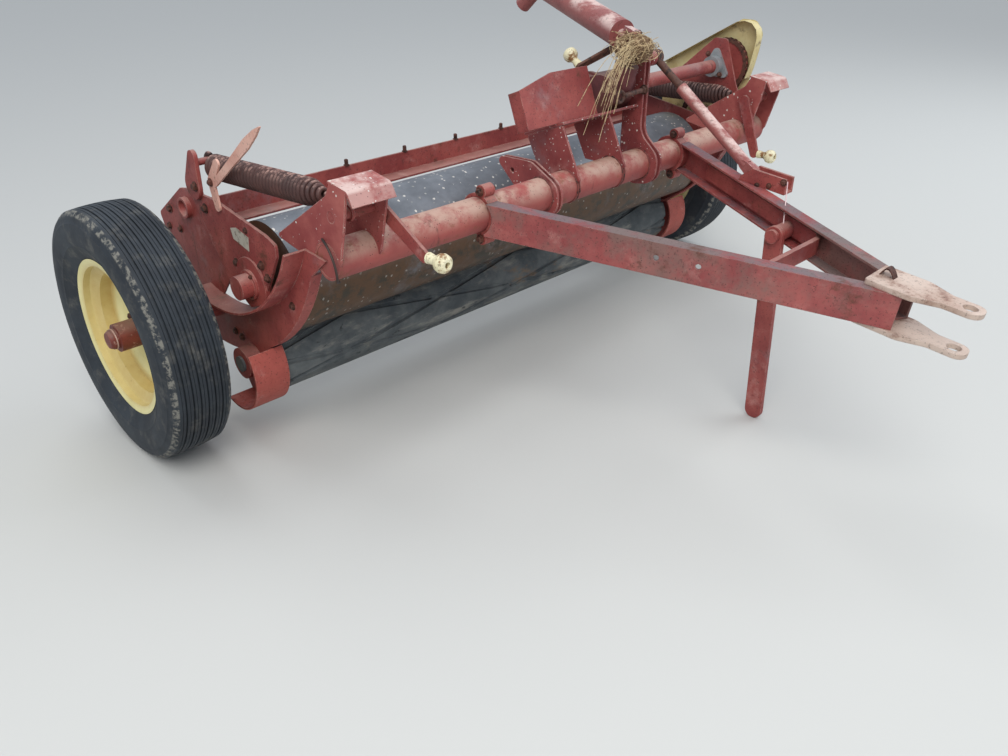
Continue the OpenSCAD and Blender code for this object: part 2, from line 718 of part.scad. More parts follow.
module strut_tube() {
    color(rust_red) placed() difference() {
        union() {
            along(strut_foot, strut_top) translate([0, 0, sleeve_start])
                cylinder(r = strut_tube_r, h = sleeve_len - sleeve_start);
            yz_plate(strut_x - eye_w / 2, eye_w) polygon(link([strut_foot[1], strut_foot[2]],
                [strut_foot[1], strut_foot[2]] + (sleeve_start + 6) * unit([
                    strut_top[1] - strut_foot[1], strut_top[2] - strut_foot[2]]),
                strut_tube_r, strut_tube_r - 4));
            bar_x(strut_x - eye_w / 2, strut_x + eye_w / 2, [strut_foot[1], strut_foot[2]],
                strut_tube_r);
        }
        along(strut_foot, strut_top)
            translate([0, 0, sleeve_floor]) cylinder(r = screw_r + 1, h = sleeve_len);
        bar_x(strut_x - eye_w, strut_x + eye_w, [strut_foot[1], strut_foot[2]], strut_pin_r + fit);
    }
}
// Height of the legs' top faces at the place y from the axle
function leg_top(y) = tongue_root[1] + (y - tongue_root[0]) * tan(tongue_slope)
    + leg_h / 2 / cos(tongue_slope);
base_t = 6;
ear_rear = -862;
ear_front = -1005;
base_rear = -918;
strut_ear_t = 8;
eye_gap = 2;
bracket_half = eye_w / 2 + eye_gap + strut_ear_t;
module strut_bracket() {
    color(rust_red) placed() {
        for (x = [strut_x - eye_w / 2 - eye_gap - strut_ear_t, strut_x + eye_w / 2 + eye_gap])
            yz_plate(x, strut_ear_t) polygon([
                [ear_rear, leg_top(ear_rear) + seat], [ear_rear - 6, 633], [ear_rear - 38, 658],
                [ear_front, 648], [ear_front, leg_top(ear_front) + seat]
            ]);
        yz_plate(strut_x - bracket_half, 2 * bracket_half) polygon([
            [base_rear, leg_top(base_rear) + seat], [base_rear, leg_top(base_rear) + base_t],
            [ear_front, leg_top(ear_front) + base_t], [ear_front, leg_top(ear_front) + seat]
        ]);
        bar_x(strut_x - bracket_half, strut_x + bracket_half,
            [strut_foot[1], strut_foot[2]], strut_pin_r);
    }
}

// Plates on the main tube

module ring_plate(x, t, outline) {
    difference() {
        yz_plate(x, t) polygon(rounded(outline));
        bar_x(x - 1, x + t + 1, tube_at, tube_r + seat);
    }
}
hanger_x = -192;
hanger_gap = 10;
mount_t = 6;
hanger_hole = [-430, 654];
hanger_hole_r = 7;
hanger_outline = [
    [-358, 684, 14], [-500, 690, 40], [-602, 640, 50], [-602, 555, 50], [-500, 545, 50],
    [-440, 610, 30]
];
module tube_hanger() {
    color(rust_red) placed()
        for (x = [hanger_x, hanger_x + mount_t + hanger_gap]) difference() {
            ring_plate(x, mount_t, hanger_outline);
            bar_x(x - 1, x + mount_t + 1, hanger_hole, hanger_hole_r);
        }
}

gusset_x = [-90, 108];
gusset_outline = [[-390, 724, 5], [-520, 772, 5], [-592, 630, 5], [-440, 630, 5]];
upright_x = [236, 256];
upright_outline = [
    [-470, 925, 26], [-540, 918, 26], [-540, 700, 60], [-612, 640, 50], [-605, 560, 50],
    [-500, 540, 50], [-470, 600, 40]
];
shelf_t = 7;
shelf_front = [-526, 776];
shelf_rear = [-380, 722];
shelf_n = unit([shelf_front[1] - shelf_rear[1], shelf_rear[0] - shelf_front[0]]);
module gearbox_mount() {
    color(deep_red) placed() {
        for (x = gusset_x) ring_plate(x, mount_t, gusset_outline);
        for (x = upright_x) ring_plate(x, mount_t, upright_outline);
        yz_plate(gusset_x[0], upright_x[0] - gusset_x[0]) polygon([
            shelf_rear, shelf_front, shelf_front + shelf_t * shelf_n, shelf_rear + shelf_t * shelf_n
        ]);
        bar_x(upright_x[0], trunnion_x + eye_w / 2 + 8, [strut_top[1], strut_top[2]], trunnion_r);
        bar_x(trunnion_x - eye_w / 2 - 26, trunnion_x - eye_w / 2 - 4,
            [strut_top[1], strut_top[2]], trunnion_r + 10);
    }
}

// Universal joint between the gearbox and the driveline
joint_at = [170, -545, 962];
input_dir = unit([0, -0.3, 0.95]);
drive_dir = unit([383, 911, 152]);
fold_axis = unit(cross(drive_dir, input_dir));
cross_pin_r = 7;
ear_gap = 20;
ear_t = 9;
ear_r = 12;
yoke_base = 38;
yoke_base_t = 12;
// Turns local Z onto the direction w and local X onto u
module facing(u, w) {
    v = cross(w, u);
    multmatrix([[u[0], v[0], w[0], 0], [u[1], v[1], w[1], 0], [u[2], v[2], w[2], 0], [0, 0, 0, 1]])
        children();
}
// Two eared fork drawn from the joint's centre away along local Z, pin along local X
module yoke() {
    difference() {
        for (e = [-ear_gap - ear_t, ear_gap]) {
            translate([e, 0, 0]) rotate([0, 90, 0]) cylinder(r = ear_r, h = ear_t);
            translate([e, -ear_r, 0]) cube([ear_t, 2 * ear_r, yoke_base + yoke_base_t]);
        }
        translate([-ear_gap - ear_t - 1, 0, 0]) rotate([0, 90, 0])
            cylinder(r = cross_pin_r + fit, h = 2 * (ear_gap + ear_t) + 2);
    }
    translate([-ear_gap - ear_t, -ear_r, yoke_base])
        cube([2 * (ear_gap + ear_t), 2 * ear_r, yoke_base_t]);
}
// Four armed cross of the universal joint
module joint_cross() {
    color(deep_red) placed() translate(joint_at) facing(fold_axis, drive_dir) {
        for (turn = [0, 90]) rotate([0, 0, turn]) {
            translate([-ear_gap - ear_t, 0, 0]) rotate([0, 90, 0])
                cylinder(r = cross_pin_r, h = 2 * (ear_gap + ear_t));
            translate([-ear_gap + 3, 0, 0]) rotate([0, 90, 0])
                cylinder(r = cross_pin_r + 4, h = 2 * ear_gap - 6);
        }
    }
}

drum_r = 56;
gear_x0 = 92;
gear_x1 = 345;
drum_ring_x = 202;
neck_r = 34;
neck_len = 85;
input_r = 15;
housing_w = 96;
// Side outline of the gear housing between the drum and the input neck, as [y, z, radius]
housing = [
    [-372, 742, 8], [-492, 770, 10], [-515, 800, 24], [-528, 862, 14], [-470, 872, 14],
    [-372, 846, 30]
];
module gearbox() {
    color(deep_red) placed() difference() {
        union() {
            bar_x(gear_x0, gear_x1, cross_at, drum_r);
            bar_x(drum_ring_x, drum_ring_x + 12, cross_at, drum_r + 8);
            yz_plate(joint_at[0] - housing_w / 2, housing_w) difference() {
                polygon(rounded(housing));
                polygon([
                    shelf_rear + (shelf_t + seat) * shelf_n - 2 * (shelf_front - shelf_rear),
                    shelf_rear + (shelf_t + seat) * shelf_n + 2 * (shelf_front - shelf_rear),
                    shelf_front - 90 * shelf_n, shelf_rear - 90 * shelf_n
                ]);
            }
            translate(joint_at) facing(fold_axis, -input_dir) {
                yoke();
                translate([0, 0, yoke_base + 2]) cylinder(r = input_r, h = neck_len);
                translate([0, 0, yoke_base + yoke_base_t + 14]) cylinder(r = neck_r, h = neck_len);
            }
        }
        bar_x(gear_x1 - 40, gear_x1 + 1, cross_at, cross_r + fit);
    }
}

shield_x0 = -200;
shield_x1 = 84;
shield_lean = 69;
shield_t = 4;
shield_foot = shelf_front + 0.19 * (shelf_rear - shelf_front) + (shelf_t + seat) * shelf_n;
// Leaning sheet in front of the gears with a folded left edge
module drive_shield() {
    color(rust_red) placed()
        translate([0, shield_foot[0], shield_foot[1]]) rotate([shield_lean, 0, 0]) {
        linear_extrude(shield_t) polygon([
            [shield_x0, 0], [shield_x0, 104], [-70, 134], [shield_x1, 134], [shield_x1, 0]
        ]);
        translate([shield_x0, 0, -40]) cube([shield_t, 104, 40 + shield_t]);
    }
}

module cross_shaft() {
    color(rust_red) placed() {
        bar_x(gear_x1 - 39, sprocket_x + 10, cross_at, cross_r);
        translate([sprocket_x, cross_at[0], cross_at[1]]) rotate([0, 90, 0])
            sprocket(drive_teeth);
    }
}

plate_x = web_x + seat;
plate_t = arm_gap - 2 * seat;
flange_bolt_r = 46;
flange_t = 10;
module flange_bearing() {
    color([0.66, 0.68, 0.7]) placed() difference() {
        union() {
            yz_plate(plate_x - flange_t, flange_t) polygon([for (a = [90, 210, 330])
                each arc(cross_at + flange_bolt_r * [cos(a), sin(a)], 12, a - 60, a + 60, 8)]);
            bar_x(plate_x - 34, plate_x, cross_at, cross_r + 12);
        }
        bar_x(plate_x - 40, plate_x + 1, cross_at, cross_r + fit);
    }
}
bearing_outline = [
    [-490, 668, 6], [-452, 740, 10], [-398, 884, 14], [-350, 884, 16], [-200, 752, 12],
    [-210, 716, 10], [-400, 700, 10]
];
plate_spacer = [-474, 688];
module bearing_plate() {
    color(rust_red) placed() difference() {
        union() {
            yz_plate(plate_x, plate_t) polygon(rounded(bearing_outline));
            bar_x(web_x - frame_t + seat, plate_x + 1, plate_spacer, 10);
        }
        bar_x(plate_x - 1, plate_x + plate_t + 1, cross_at, cross_r + clear);
    }
}

// Chain round both sprockets in the plane x = sprocket_x: two rows of link plates with rollers
// between them on the straight runs, where no teeth turn
link_h = 13;
link_bump = 1.2;
link_t = 2;
link_gap = 6;
roller_r = 5;
// First roller of a run that is clear of the sprockets' teeth
first_roller = 3;
drive_r = pitch_r(drive_teeth);
driven_r = pitch_r(roll_teeth);
chain_span = upper_at - cross_at;
chain_lean = asin((drive_r - driven_r) / norm(chain_span));
run_a = atan2(chain_span[1], chain_span[0]) + 90 - chain_lean;
run_b = run_a - 180 + 2 * chain_lean;
function dir(a) = [cos(a), sin(a)];
// Edge of the link plates, wider at each roller and narrower between two
function link_edge(k, off, bump) = off + (k % 2 == 0 ? bump : -bump);
function wrap_edge(c, r, a0, a1, off, bump) =
    let (n = 2 * round(r * (a1 - a0) * PI / 180 / chain_pitch))
    [for (k = [0:n]) c + (r + link_edge(k, off, bump)) * dir(a0 + (a1 - a0) * k / n)];
function run_links(p, q) = round(norm(q - p) / chain_pitch);
function run_edge(p, q, a, off, bump) = let (n = 2 * run_links(p, q))
    [for (k = [1:n - 1]) p + (q - p) * k / n + link_edge(k, off, bump) * dir(a)];
// Each straight run as [start, end, direction outward]
runs = [
    [cross_at + drive_r * dir(run_b), upper_at + driven_r * dir(run_b), run_b],
    [upper_at + driven_r * dir(run_a), cross_at + drive_r * dir(run_a), run_a]
];
function chain_edge(off, bump) = concat(
    wrap_edge(cross_at, drive_r, run_a, run_b + 360, off, bump),
    run_edge(runs[0][0], runs[0][1], run_b, off, bump),
    wrap_edge(upper_at, driven_r, run_b, run_a, off, bump),
    run_edge(runs[1][0], runs[1][1], run_a, off, bump));
module drive_chain() {
    color([0.25, 0.16, 0.13]) placed() {
        for (e = [link_gap, -link_gap - link_t])
            yz_plate(sprocket_x + e, link_t) difference() {
                polygon(chain_edge(link_h / 2, link_bump));
                polygon(chain_edge(-link_h / 2, -link_bump));
            }
        for (r = runs) let (n = run_links(r[0], r[1])) for (k = [first_roller:n - first_roller])
            bar_x(sprocket_x - link_gap - 1, sprocket_x + link_gap + 1,
                r[0] + (r[1] - r[0]) * k / n, roller_r, $fn = 12);
    }
}

cover_x = sprocket_x + 26;
cover_t = 3;
cover_outline = [
    [-70, 750, 24], [-395, 940, 20], [-450, 940, 30], [-480, 900, 30], [-450, 740, 60],
    [-330, 400, 50], [-216, 350, 60], [-120, 400, 60]
];
cover_studs = [[-262, 548], [-150, 610]];
module chain_cover() {
    color([0.85, 0.78, 0.45]) placed()
        union() {
            yz_plate(cover_x, cover_t) polygon(rounded(cover_outline));
            for (stud = cover_studs) bar_x(arm_x + arm_t + seat, cover_x + 1, stud, 7);
        }
}

// Driveline folded back over the machine: its fork, the shield tube round the inner shaft,
// and the splined socket that hangs from its far end
drive_r_in = 15;
shield_gap = 72;
end_gap = 20;
drive_end = joint_at + (shield_gap + shield_len + end_gap) * drive_dir;
end_dir = unit([0, 75, -65]);
end_r = 26;
end_len = 110;
end_bore_r = 17.5;
module driveline() {
    color(rust_red) placed() {
        translate(joint_at) facing(cross(fold_axis, drive_dir), drive_dir) {
            yoke();
            translate([0, 0, shield_gap]) difference() {
                cylinder(r = shield_r, h = shield_len);
                translate([0, 0, shield_wall]) cylinder(r = shield_r - shield_wall, h = shield_len);
            }
            translate([0, 0, yoke_base + 2])
                cylinder(r = drive_r_in, h = shield_gap + shield_len + end_gap - yoke_base);
        }
        along(drive_end, drive_end + end_dir * end_len) difference() {
            translate([0, 0, -end_gap]) cylinder(r = end_r, h = end_len + end_gap);
            translate([0, 0, end_len / 2]) cylinder(r = end_bore_r, h = end_len / 2 + 1);
        }
    }
}

main_tube();
side_frame(-1);  // side_frame_right
side_frame(1);  // side_frame_left
rear_bar();
roll_arm(-1);  // roll_arm_right
roll_arm(1);  // roll_arm_left
roll_guards();
spindles();
tyre(-1);  // tyre_right
tyre(1);  // tyre_left
rim(-1);  // rim_right
rim(1);  // rim_left
hub(-1);  // hub_right
hub(1);  // hub_left
upper_roll();
lower_roll();
spring(-1);  // spring_right
spring(1);  // spring_left
crank_bracket(-1);  // crank_bracket_right
crank_bracket(1);  // crank_bracket_left
pressure_crank(-1);  // pressure_crank_right
pressure_crank(1);  // pressure_crank_left
crank_knobs();
latch_lever();
tongue_leg(-1);  // tongue_leg_right
tongue_leg(1);  // tongue_leg_left
tongue_clamps();
cross_strap();
hitch_straps();
stand_leg();
stand_pivot();
strut_screw();
strut_knob();
strut_tube();
strut_bracket();
tube_hanger();
gearbox_mount();
gearbox();
drive_shield();
cross_shaft();
flange_bearing();
bearing_plate();
drive_chain();
chain_cover();
joint_cross();
driveline();
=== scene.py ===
import json
import math
import random

import bmesh
import bpy
from mathutils import Matrix, Vector


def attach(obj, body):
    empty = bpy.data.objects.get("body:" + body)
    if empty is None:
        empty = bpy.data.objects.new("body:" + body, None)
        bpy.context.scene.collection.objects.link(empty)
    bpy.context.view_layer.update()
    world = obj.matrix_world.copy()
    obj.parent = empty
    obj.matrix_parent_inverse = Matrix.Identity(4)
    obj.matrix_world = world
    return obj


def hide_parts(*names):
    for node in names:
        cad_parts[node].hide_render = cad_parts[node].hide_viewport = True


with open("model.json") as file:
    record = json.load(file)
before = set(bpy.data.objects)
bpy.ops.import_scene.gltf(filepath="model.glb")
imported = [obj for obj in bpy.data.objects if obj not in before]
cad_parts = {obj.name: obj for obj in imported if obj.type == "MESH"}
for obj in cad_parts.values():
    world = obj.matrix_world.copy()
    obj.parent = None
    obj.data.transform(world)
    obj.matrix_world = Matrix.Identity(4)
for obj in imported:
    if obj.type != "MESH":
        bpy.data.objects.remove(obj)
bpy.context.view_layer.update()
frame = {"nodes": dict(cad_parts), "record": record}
random.seed(11)

# Distance of the wheel axle from the frame's origin
AXLE_Y = 650.685
TYRE_R = 334
WHEEL_X = 1130
# Places (y, z) of lines across the machine
AXLE = (0, TYRE_R)
UPPER_ROLL = (-216, 464)
MAIN_TUBE = (-540, 610)
X = Vector((1, 0, 0))
Z = Vector((0, 0, 1))


def at(x, y, z):
    """Point in the row frame, in metres, from millimetres measured from the wheel axle."""
    return Vector((x, y + AXLE_Y, z)) / 1000


# Materials


def rgb(code):
    """Linear colour from a hex sRGB code."""
    parts = [int(code[k : k + 2], 16) / 255 for k in (0, 2, 4)]
    return [c / 12.92 if c < 0.04045 else ((c + 0.055) / 1.055) ** 2.4 for c in parts] + [1]


class Nodes:
    """Small helper that adds shader nodes and joins them."""

    def __init__(self, material):
        self.tree = material.node_tree
        self.place = self.add("ShaderNodeTexCoord").outputs["Object"]
        self.normal = None

    def add(self, kind, **values):
        node = self.tree.nodes.new(kind)
        for key, value in values.items():
            setattr(node, key, value)
        return node

    def join(self, a, b):
        self.tree.links.new(a, b)

    def maths(self, operation, a, b=None, clamp=False):
        node = self.add("ShaderNodeMath", operation=operation, use_clamp=clamp)
        for k, value in enumerate((a, b)):
            if value is None:
                continue
            if isinstance(value, (int, float)):
                node.inputs[k].default_value = value
            else:
                self.join(value, node.inputs[k])
        return node.outputs[0]

    def ramp(self, value, low, high):
        """0 where the value is at low, 1 where it is at high, smooth between them."""
        node = self.add("ShaderNodeMapRange", interpolation_type="SMOOTHSTEP")
        node.inputs["From Min"].default_value = low
        node.inputs["From Max"].default_value = high
        self.join(value, node.inputs["Value"])
        return node.outputs[0]

    def stretched(self, scale):
        node = self.add("ShaderNodeMapping")
        node.inputs["Scale"].default_value = scale
        self.join(self.place, node.inputs["Vector"])
        return node.outputs[0]

    def noise(self, scale, detail=5, rough=0.6, stretch=None):
        node = self.add("ShaderNodeTexNoise")
        node.inputs["Scale"].default_value = scale
        node.inputs["Detail"].default_value = detail
        node.inputs["Roughness"].default_value = rough
        self.join(self.stretched(stretch) if stretch else self.place, node.inputs["Vector"])
        return node.outputs["Fac"]

    def spots(self, scale, size, share):
        """1 inside ragged spots in a share of the cells."""
        node = self.add("ShaderNodeTexVoronoi")
        node.inputs["Scale"].default_value = scale
        self.join(self.place, node.inputs["Vector"])
        split = self.add("ShaderNodeSeparateColor")
        self.join(node.outputs["Color"], split.inputs[0])
        picked = self.maths("LESS_THAN", split.outputs[0], share)
        wobble = self.maths("MULTIPLY", self.noise(scale * 3, 2), size)
        near = self.maths("LESS_THAN", node.outputs["Distance"], wobble)
        return self.maths("MULTIPLY", picked, near)

    def off_wheel(self):
        """Distance in metres from the middle plane of the wheel on that side."""
        node = self.add("ShaderNodeNewGeometry")
        split = self.add("ShaderNodeSeparateXYZ")
        self.join(node.outputs["Position"], split.inputs[0])
        side = self.maths("ABSOLUTE", split.outputs["X"])
        return self.maths("ABSOLUTE", self.maths("SUBTRACT", side, WHEEL_X / 1000))

    def facing(self, axis, low, high):
        """Ramp over one part of the face's direction."""
        node = self.add("ShaderNodeNewGeometry")
        split = self.add("ShaderNodeSeparateXYZ")
        self.join(node.outputs["Normal"], split.inputs[0])
        return self.ramp(split.outputs[axis], low, high)

    def from_line(self, y, z):
        """Distance in metres from a line across the machine, such as the axle."""
        node = self.add("ShaderNodeNewGeometry")
        flat = self.add("ShaderNodeVectorMath", operation="MULTIPLY")
        flat.inputs[1].default_value = (0, 1, 1)
        self.join(node.outputs["Position"], flat.inputs[0])
        away = self.add("ShaderNodeVectorMath", operation="DISTANCE")
        away.inputs[1].default_value = (0, *at(0, y, z)[1:])
        self.join(flat.outputs[0], away.inputs[0])
        return away.outputs["Value"]

    def edges(self, radius, low, high):
        """1 on outside corners, where paint rubs off, from the rounded normal."""
        bevel = self.add("ShaderNodeBevel", samples=3)
        bevel.inputs["Radius"].default_value = radius
        self.normal = bevel.outputs[0]
        flat = self.add("ShaderNodeNewGeometry")
        dot = self.add("ShaderNodeVectorMath", operation="DOT_PRODUCT")
        self.join(bevel.outputs[0], dot.inputs[0])
        self.join(flat.outputs["Normal"], dot.inputs[1])
        return self.ramp(self.maths("SUBTRACT", 1, dot.outputs["Value"]), low, high)

    def blend(self, low, high, mask):
        node = self.add("ShaderNodeMix", data_type="RGBA")
        self.join(mask, node.inputs["Factor"])
        sockets = [s for s in node.inputs if s.type == "RGBA"]
        for value, socket in ((low, sockets[0]), (high, sockets[1])):
            if isinstance(value, (list, tuple)):
                socket.default_value = value
            else:
                self.join(value, socket)
        return [s for s in node.outputs if s.type == "RGBA"][0]

    def mix(self, low, high, mask):
        """Number that goes from low to high with the mask."""
        node = self.add("ShaderNodeMapRange")
        node.inputs["To Min"].default_value = low
        node.inputs["To Max"].default_value = high
        self.join(mask, node.inputs["Value"])
        return node.outputs[0]


def surface(name, base, second, layers=(), rough=0.6, metal=0.0, grain=7, bump=0.15, fine=90, wear=None):
    """Weathered material: two tones mixed by broad noise, then layers of (colour, mask maker).

    wear is the colour of rubbed corners and their radius in metres.
    """
    made = bpy.data.materials.new(name)
    made.use_nodes = True
    n = Nodes(made)
    shader = made.node_tree.nodes["Principled BSDF"]
    colour = n.blend(rgb(base), rgb(second), n.ramp(n.noise(grain, 7, 0.65), 0.35, 0.68))
    if wear:
        mask = n.maths("MULTIPLY", n.edges(wear[1], 0.02, 0.16), n.ramp(n.noise(35, 4), 0.38, 0.6))
        colour = n.blend(colour, rgb(wear[0]), mask)
    for code, maker in layers:
        colour = n.blend(colour, rgb(code), maker(n))
    n.join(colour, shader.inputs["Base Color"])
    shader.inputs["Metallic"].default_value = metal
    n.join(n.mix(rough - 0.1, rough + 0.14, n.noise(fine / 3, 4)), shader.inputs["Roughness"])
    if bump:
        node = n.add("ShaderNodeBump")
        node.inputs["Strength"].default_value = bump
        node.inputs["Distance"].default_value = 0.002
        n.join(n.noise(fine, 6, 0.7), node.inputs["Height"])
        if n.normal:
            n.join(n.normal, node.inputs["Normal"])
        n.join(node.outputs[0], shader.inputs["Normal"])
    return made


# Fine pieces over the part


class Build:
    """One joined mesh of many small pieces, its points in millimetres from the wheel axle."""

    def __init__(self):
        self.verts = []
        self.faces = []

    def add(self, verts, faces):
        first = len(self.verts)
        self.verts += [Vector(v) for v in verts]
        self.faces += [[first + k for k in face] for face in faces]

    def rings(self, rings, closed=False):
        """Skin over rings of points, capped at both ends unless the last joins the first."""
        count = len(rings[0])
        faces = []
        for j in range(len(rings) if closed else len(rings) - 1):
            a, b = j * count, (j + 1) % len(rings) * count
            faces += [[a + k, a + (k + 1) % count, b + (k + 1) % count, b + k] for k in range(count)]
        if not closed:
            faces += [list(range(count))[::-1], [len(rings) * count - count + k for k in range(count)]]
        self.add([p for ring in rings for p in ring], faces)

    def tube(self, points, radius, sides=8):
        """Round bar along the points; radius is one number or one for each point."""
        points = [Vector(p) for p in points]
        radii = radius if isinstance(radius, list) else [radius] * len(points)
        along = (points[1] - points[0]).normalized()
        side = along.orthogonal().normalized()
        rings = []
        for k, p in enumerate(points):
            step = points[min(k + 1, len(points) - 1)] - points[max(k - 1, 0)]
            along = step.normalized()
            side = (side - along * side.dot(along)).normalized()
            other = along.cross(side)
            rings.append(
                [
                    p + radii[k] * (side * math.cos(a) + other * math.sin(a))
                    for a in (math.tau * i / sides for i in range(sides))
                ]
            )
        self.rings(rings)

    def turned(self, place, axis, profile, sides=24, turn=0.0):
        """Solid turned about axis through place from a profile of (height, radius)."""
        axis = Vector(axis).normalized()
        side = axis.orthogonal().normalized()
        other = axis.cross(side)
        self.rings(
            [
                [
                    Vector(place) + axis * h + r * (side * math.cos(a) + other * math.sin(a))
                    for a in (turn + math.tau * i / sides for i in range(sides))
                ]
                for h, r in profile
            ]
        )

    def bolt(self, place, axis, head=9.5, height=7, washer=13, stub=0):
        """Hexagon head on its washer, with the end of a threaded stub where it has one."""
        turn = random.uniform(0, 1)
        self.turned(place, axis, [(-1, washer), (1.8, washer), (2, washer - 0.6)], 20)
        if head:
            tall = height + 2
            self.turned(place, axis, [(1, head), (tall - 1.5, head), (tall, head - 1.6)], 6, turn)
        if stub:
            thread = head * 0.55
            tip = height + stub
            self.turned(place, axis, [(0, thread), (tip, thread), (tip + 1, head * 0.4)], 14)

    def make(self, name, look, body, gone=(), angle=35):
        """Object that rides the body, in place of the CAD nodes named in gone."""
        mesh = bpy.data.meshes.new(name)
        mesh.from_pydata([at(*v) for v in self.verts], [], self.faces)
        shape = bmesh.new()
        shape.from_mesh(mesh)
        bmesh.ops.recalc_face_normals(shape, faces=shape.faces)
        shape.to_mesh(mesh)
        shape.free()
        mesh.polygons.foreach_set("use_smooth", [True] * len(mesh.polygons))
        mesh.set_sharp_from_angle(angle=math.radians(angle))
        mesh.materials.append(look)
        made = bpy.data.objects.new(name, mesh)
        bpy.context.scene.collection.objects.link(made)
        if gone:
            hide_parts(*gone)
        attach(made, body)
        return made


# Camera at the photo's place

CAMERA_AT = (-1850, -2068, 1322)
CAMERA_AIM = (0.6117, 0.6160, -0.4963)
FOCAL_PX = 850
PHOTO_W_PX = 1008
SENSOR = 36
camera_data = bpy.data.cameras.new("photo_camera")
camera = bpy.data.objects.new("photo_camera", camera_data)
bpy.context.scene.collection.objects.link(camera)
bpy.context.scene.camera = camera
aim = Vector(CAMERA_AIM).normalized()
right = aim.cross(Z).normalized()
axes = Matrix((right, right.cross(aim), -aim)).transposed().to_4x4()
camera.matrix_world = Matrix.Translation(at(*CAMERA_AT)) @ axes
camera_data.sensor_width = SENSOR
camera_data.lens = FOCAL_PX / PHOTO_W_PX * SENSOR
camera_data.clip_end = 60

# Baling twine from the strut bracket down to the end of the stand's pivot, made before the rest

TWINE_TOP = Vector((272, -1013, 646))
TWINE_FOOT = Vector((157, -1079, 551))
TWINE_STEPS = 14
TWINE_R = 1.5
twine_line = [TWINE_TOP.lerp(TWINE_FOOT, k / TWINE_STEPS) for k in range(TWINE_STEPS + 1)]
strand = Build()
strand.tube(twine_line, TWINE_R, 10)
twine = strand.make("twine", surface("twine", "e0c6c4", "c8a5a6", [], 0.8, bump=0), "tongue")

# Layers of wear that several looks share, as (colour, mask maker)

RUST = "5a3423"
DARK_RUST = "38211a"
DUST = "a8988a"


def part(mask, share):
    """Mask maker with its strength cut to a share."""
    return lambda n: n.maths("MULTIPLY", mask(n), share)


def broad(scale, low, high, stretch=None):
    """Mask maker of cloudy patches."""
    return lambda n: n.ramp(n.noise(scale, 8, 0.7, stretch), low, high)


def both(one, two):
    return lambda n: n.maths("MULTIPLY", one(n), two(n))


def top(low, high):
    """Mask maker of faces that look up."""
    return lambda n: n.facing("Z", low, high)


rust_patch = (RUST, part(broad(9, 0.56, 0.68), 0.85))
rust_pits = (DARK_RUST, part(lambda n: n.spots(170, 0.42, 0.2), 0.75))
fine_rust = (DARK_RUST, part(broad(150, 0.55, 0.66), 0.6))
dust_up = (DUST, both(top(0.3, 1.0), lambda n: n.mix(0.1, 0.5, n.noise(14, 5))))
dark_drips = (DARK_RUST, part(broad(16, 0.6, 0.7, (1, 1, 0.22)), 0.6))
chalky = ("c4938a", part(broad(13, 0.54, 0.74), 0.5))
grey_film = ("8a7a7c", part(broad(5, 0.55, 0.72), 0.45))
white_spots = ("d8d0c8", lambda n: n.spots(120, 0.42, 0.2))
white_drops = ("d6cec5", lambda n: n.spots(60, 0.4, 0.16))
worn_red = [chalky, grey_film, rust_patch, fine_rust, rust_pits, dark_drips]


def shoulder_dust(n):
    """Dry soil on the notched shoulders of the tread."""
    beside = n.ramp(n.off_wheel(), 0.063, 0.066)
    outside = n.ramp(n.from_line(*AXLE), 0.316, 0.321)
    ring = n.maths("MULTIPLY", beside, outside)
    soil = n.ramp(n.noise(70, 4, 0.7), 0.45, 0.6)
    return n.maths("MULTIPLY", n.maths("MULTIPLY", ring, soil), 0.7)


def ochre(n):
    """Dirt that gathers in the gutter between the rim's flange and its disc."""
    away = n.from_line(*AXLE)
    ring = n.maths("MULTIPLY", n.ramp(away, 0.128, 0.16), n.ramp(away, 0.203, 0.18))
    return n.maths("MULTIPLY", ring, n.mix(0.3, 0.85, n.noise(30, 8, 0.75)))


# Looks by the record's material slot, then those of the fine pieces

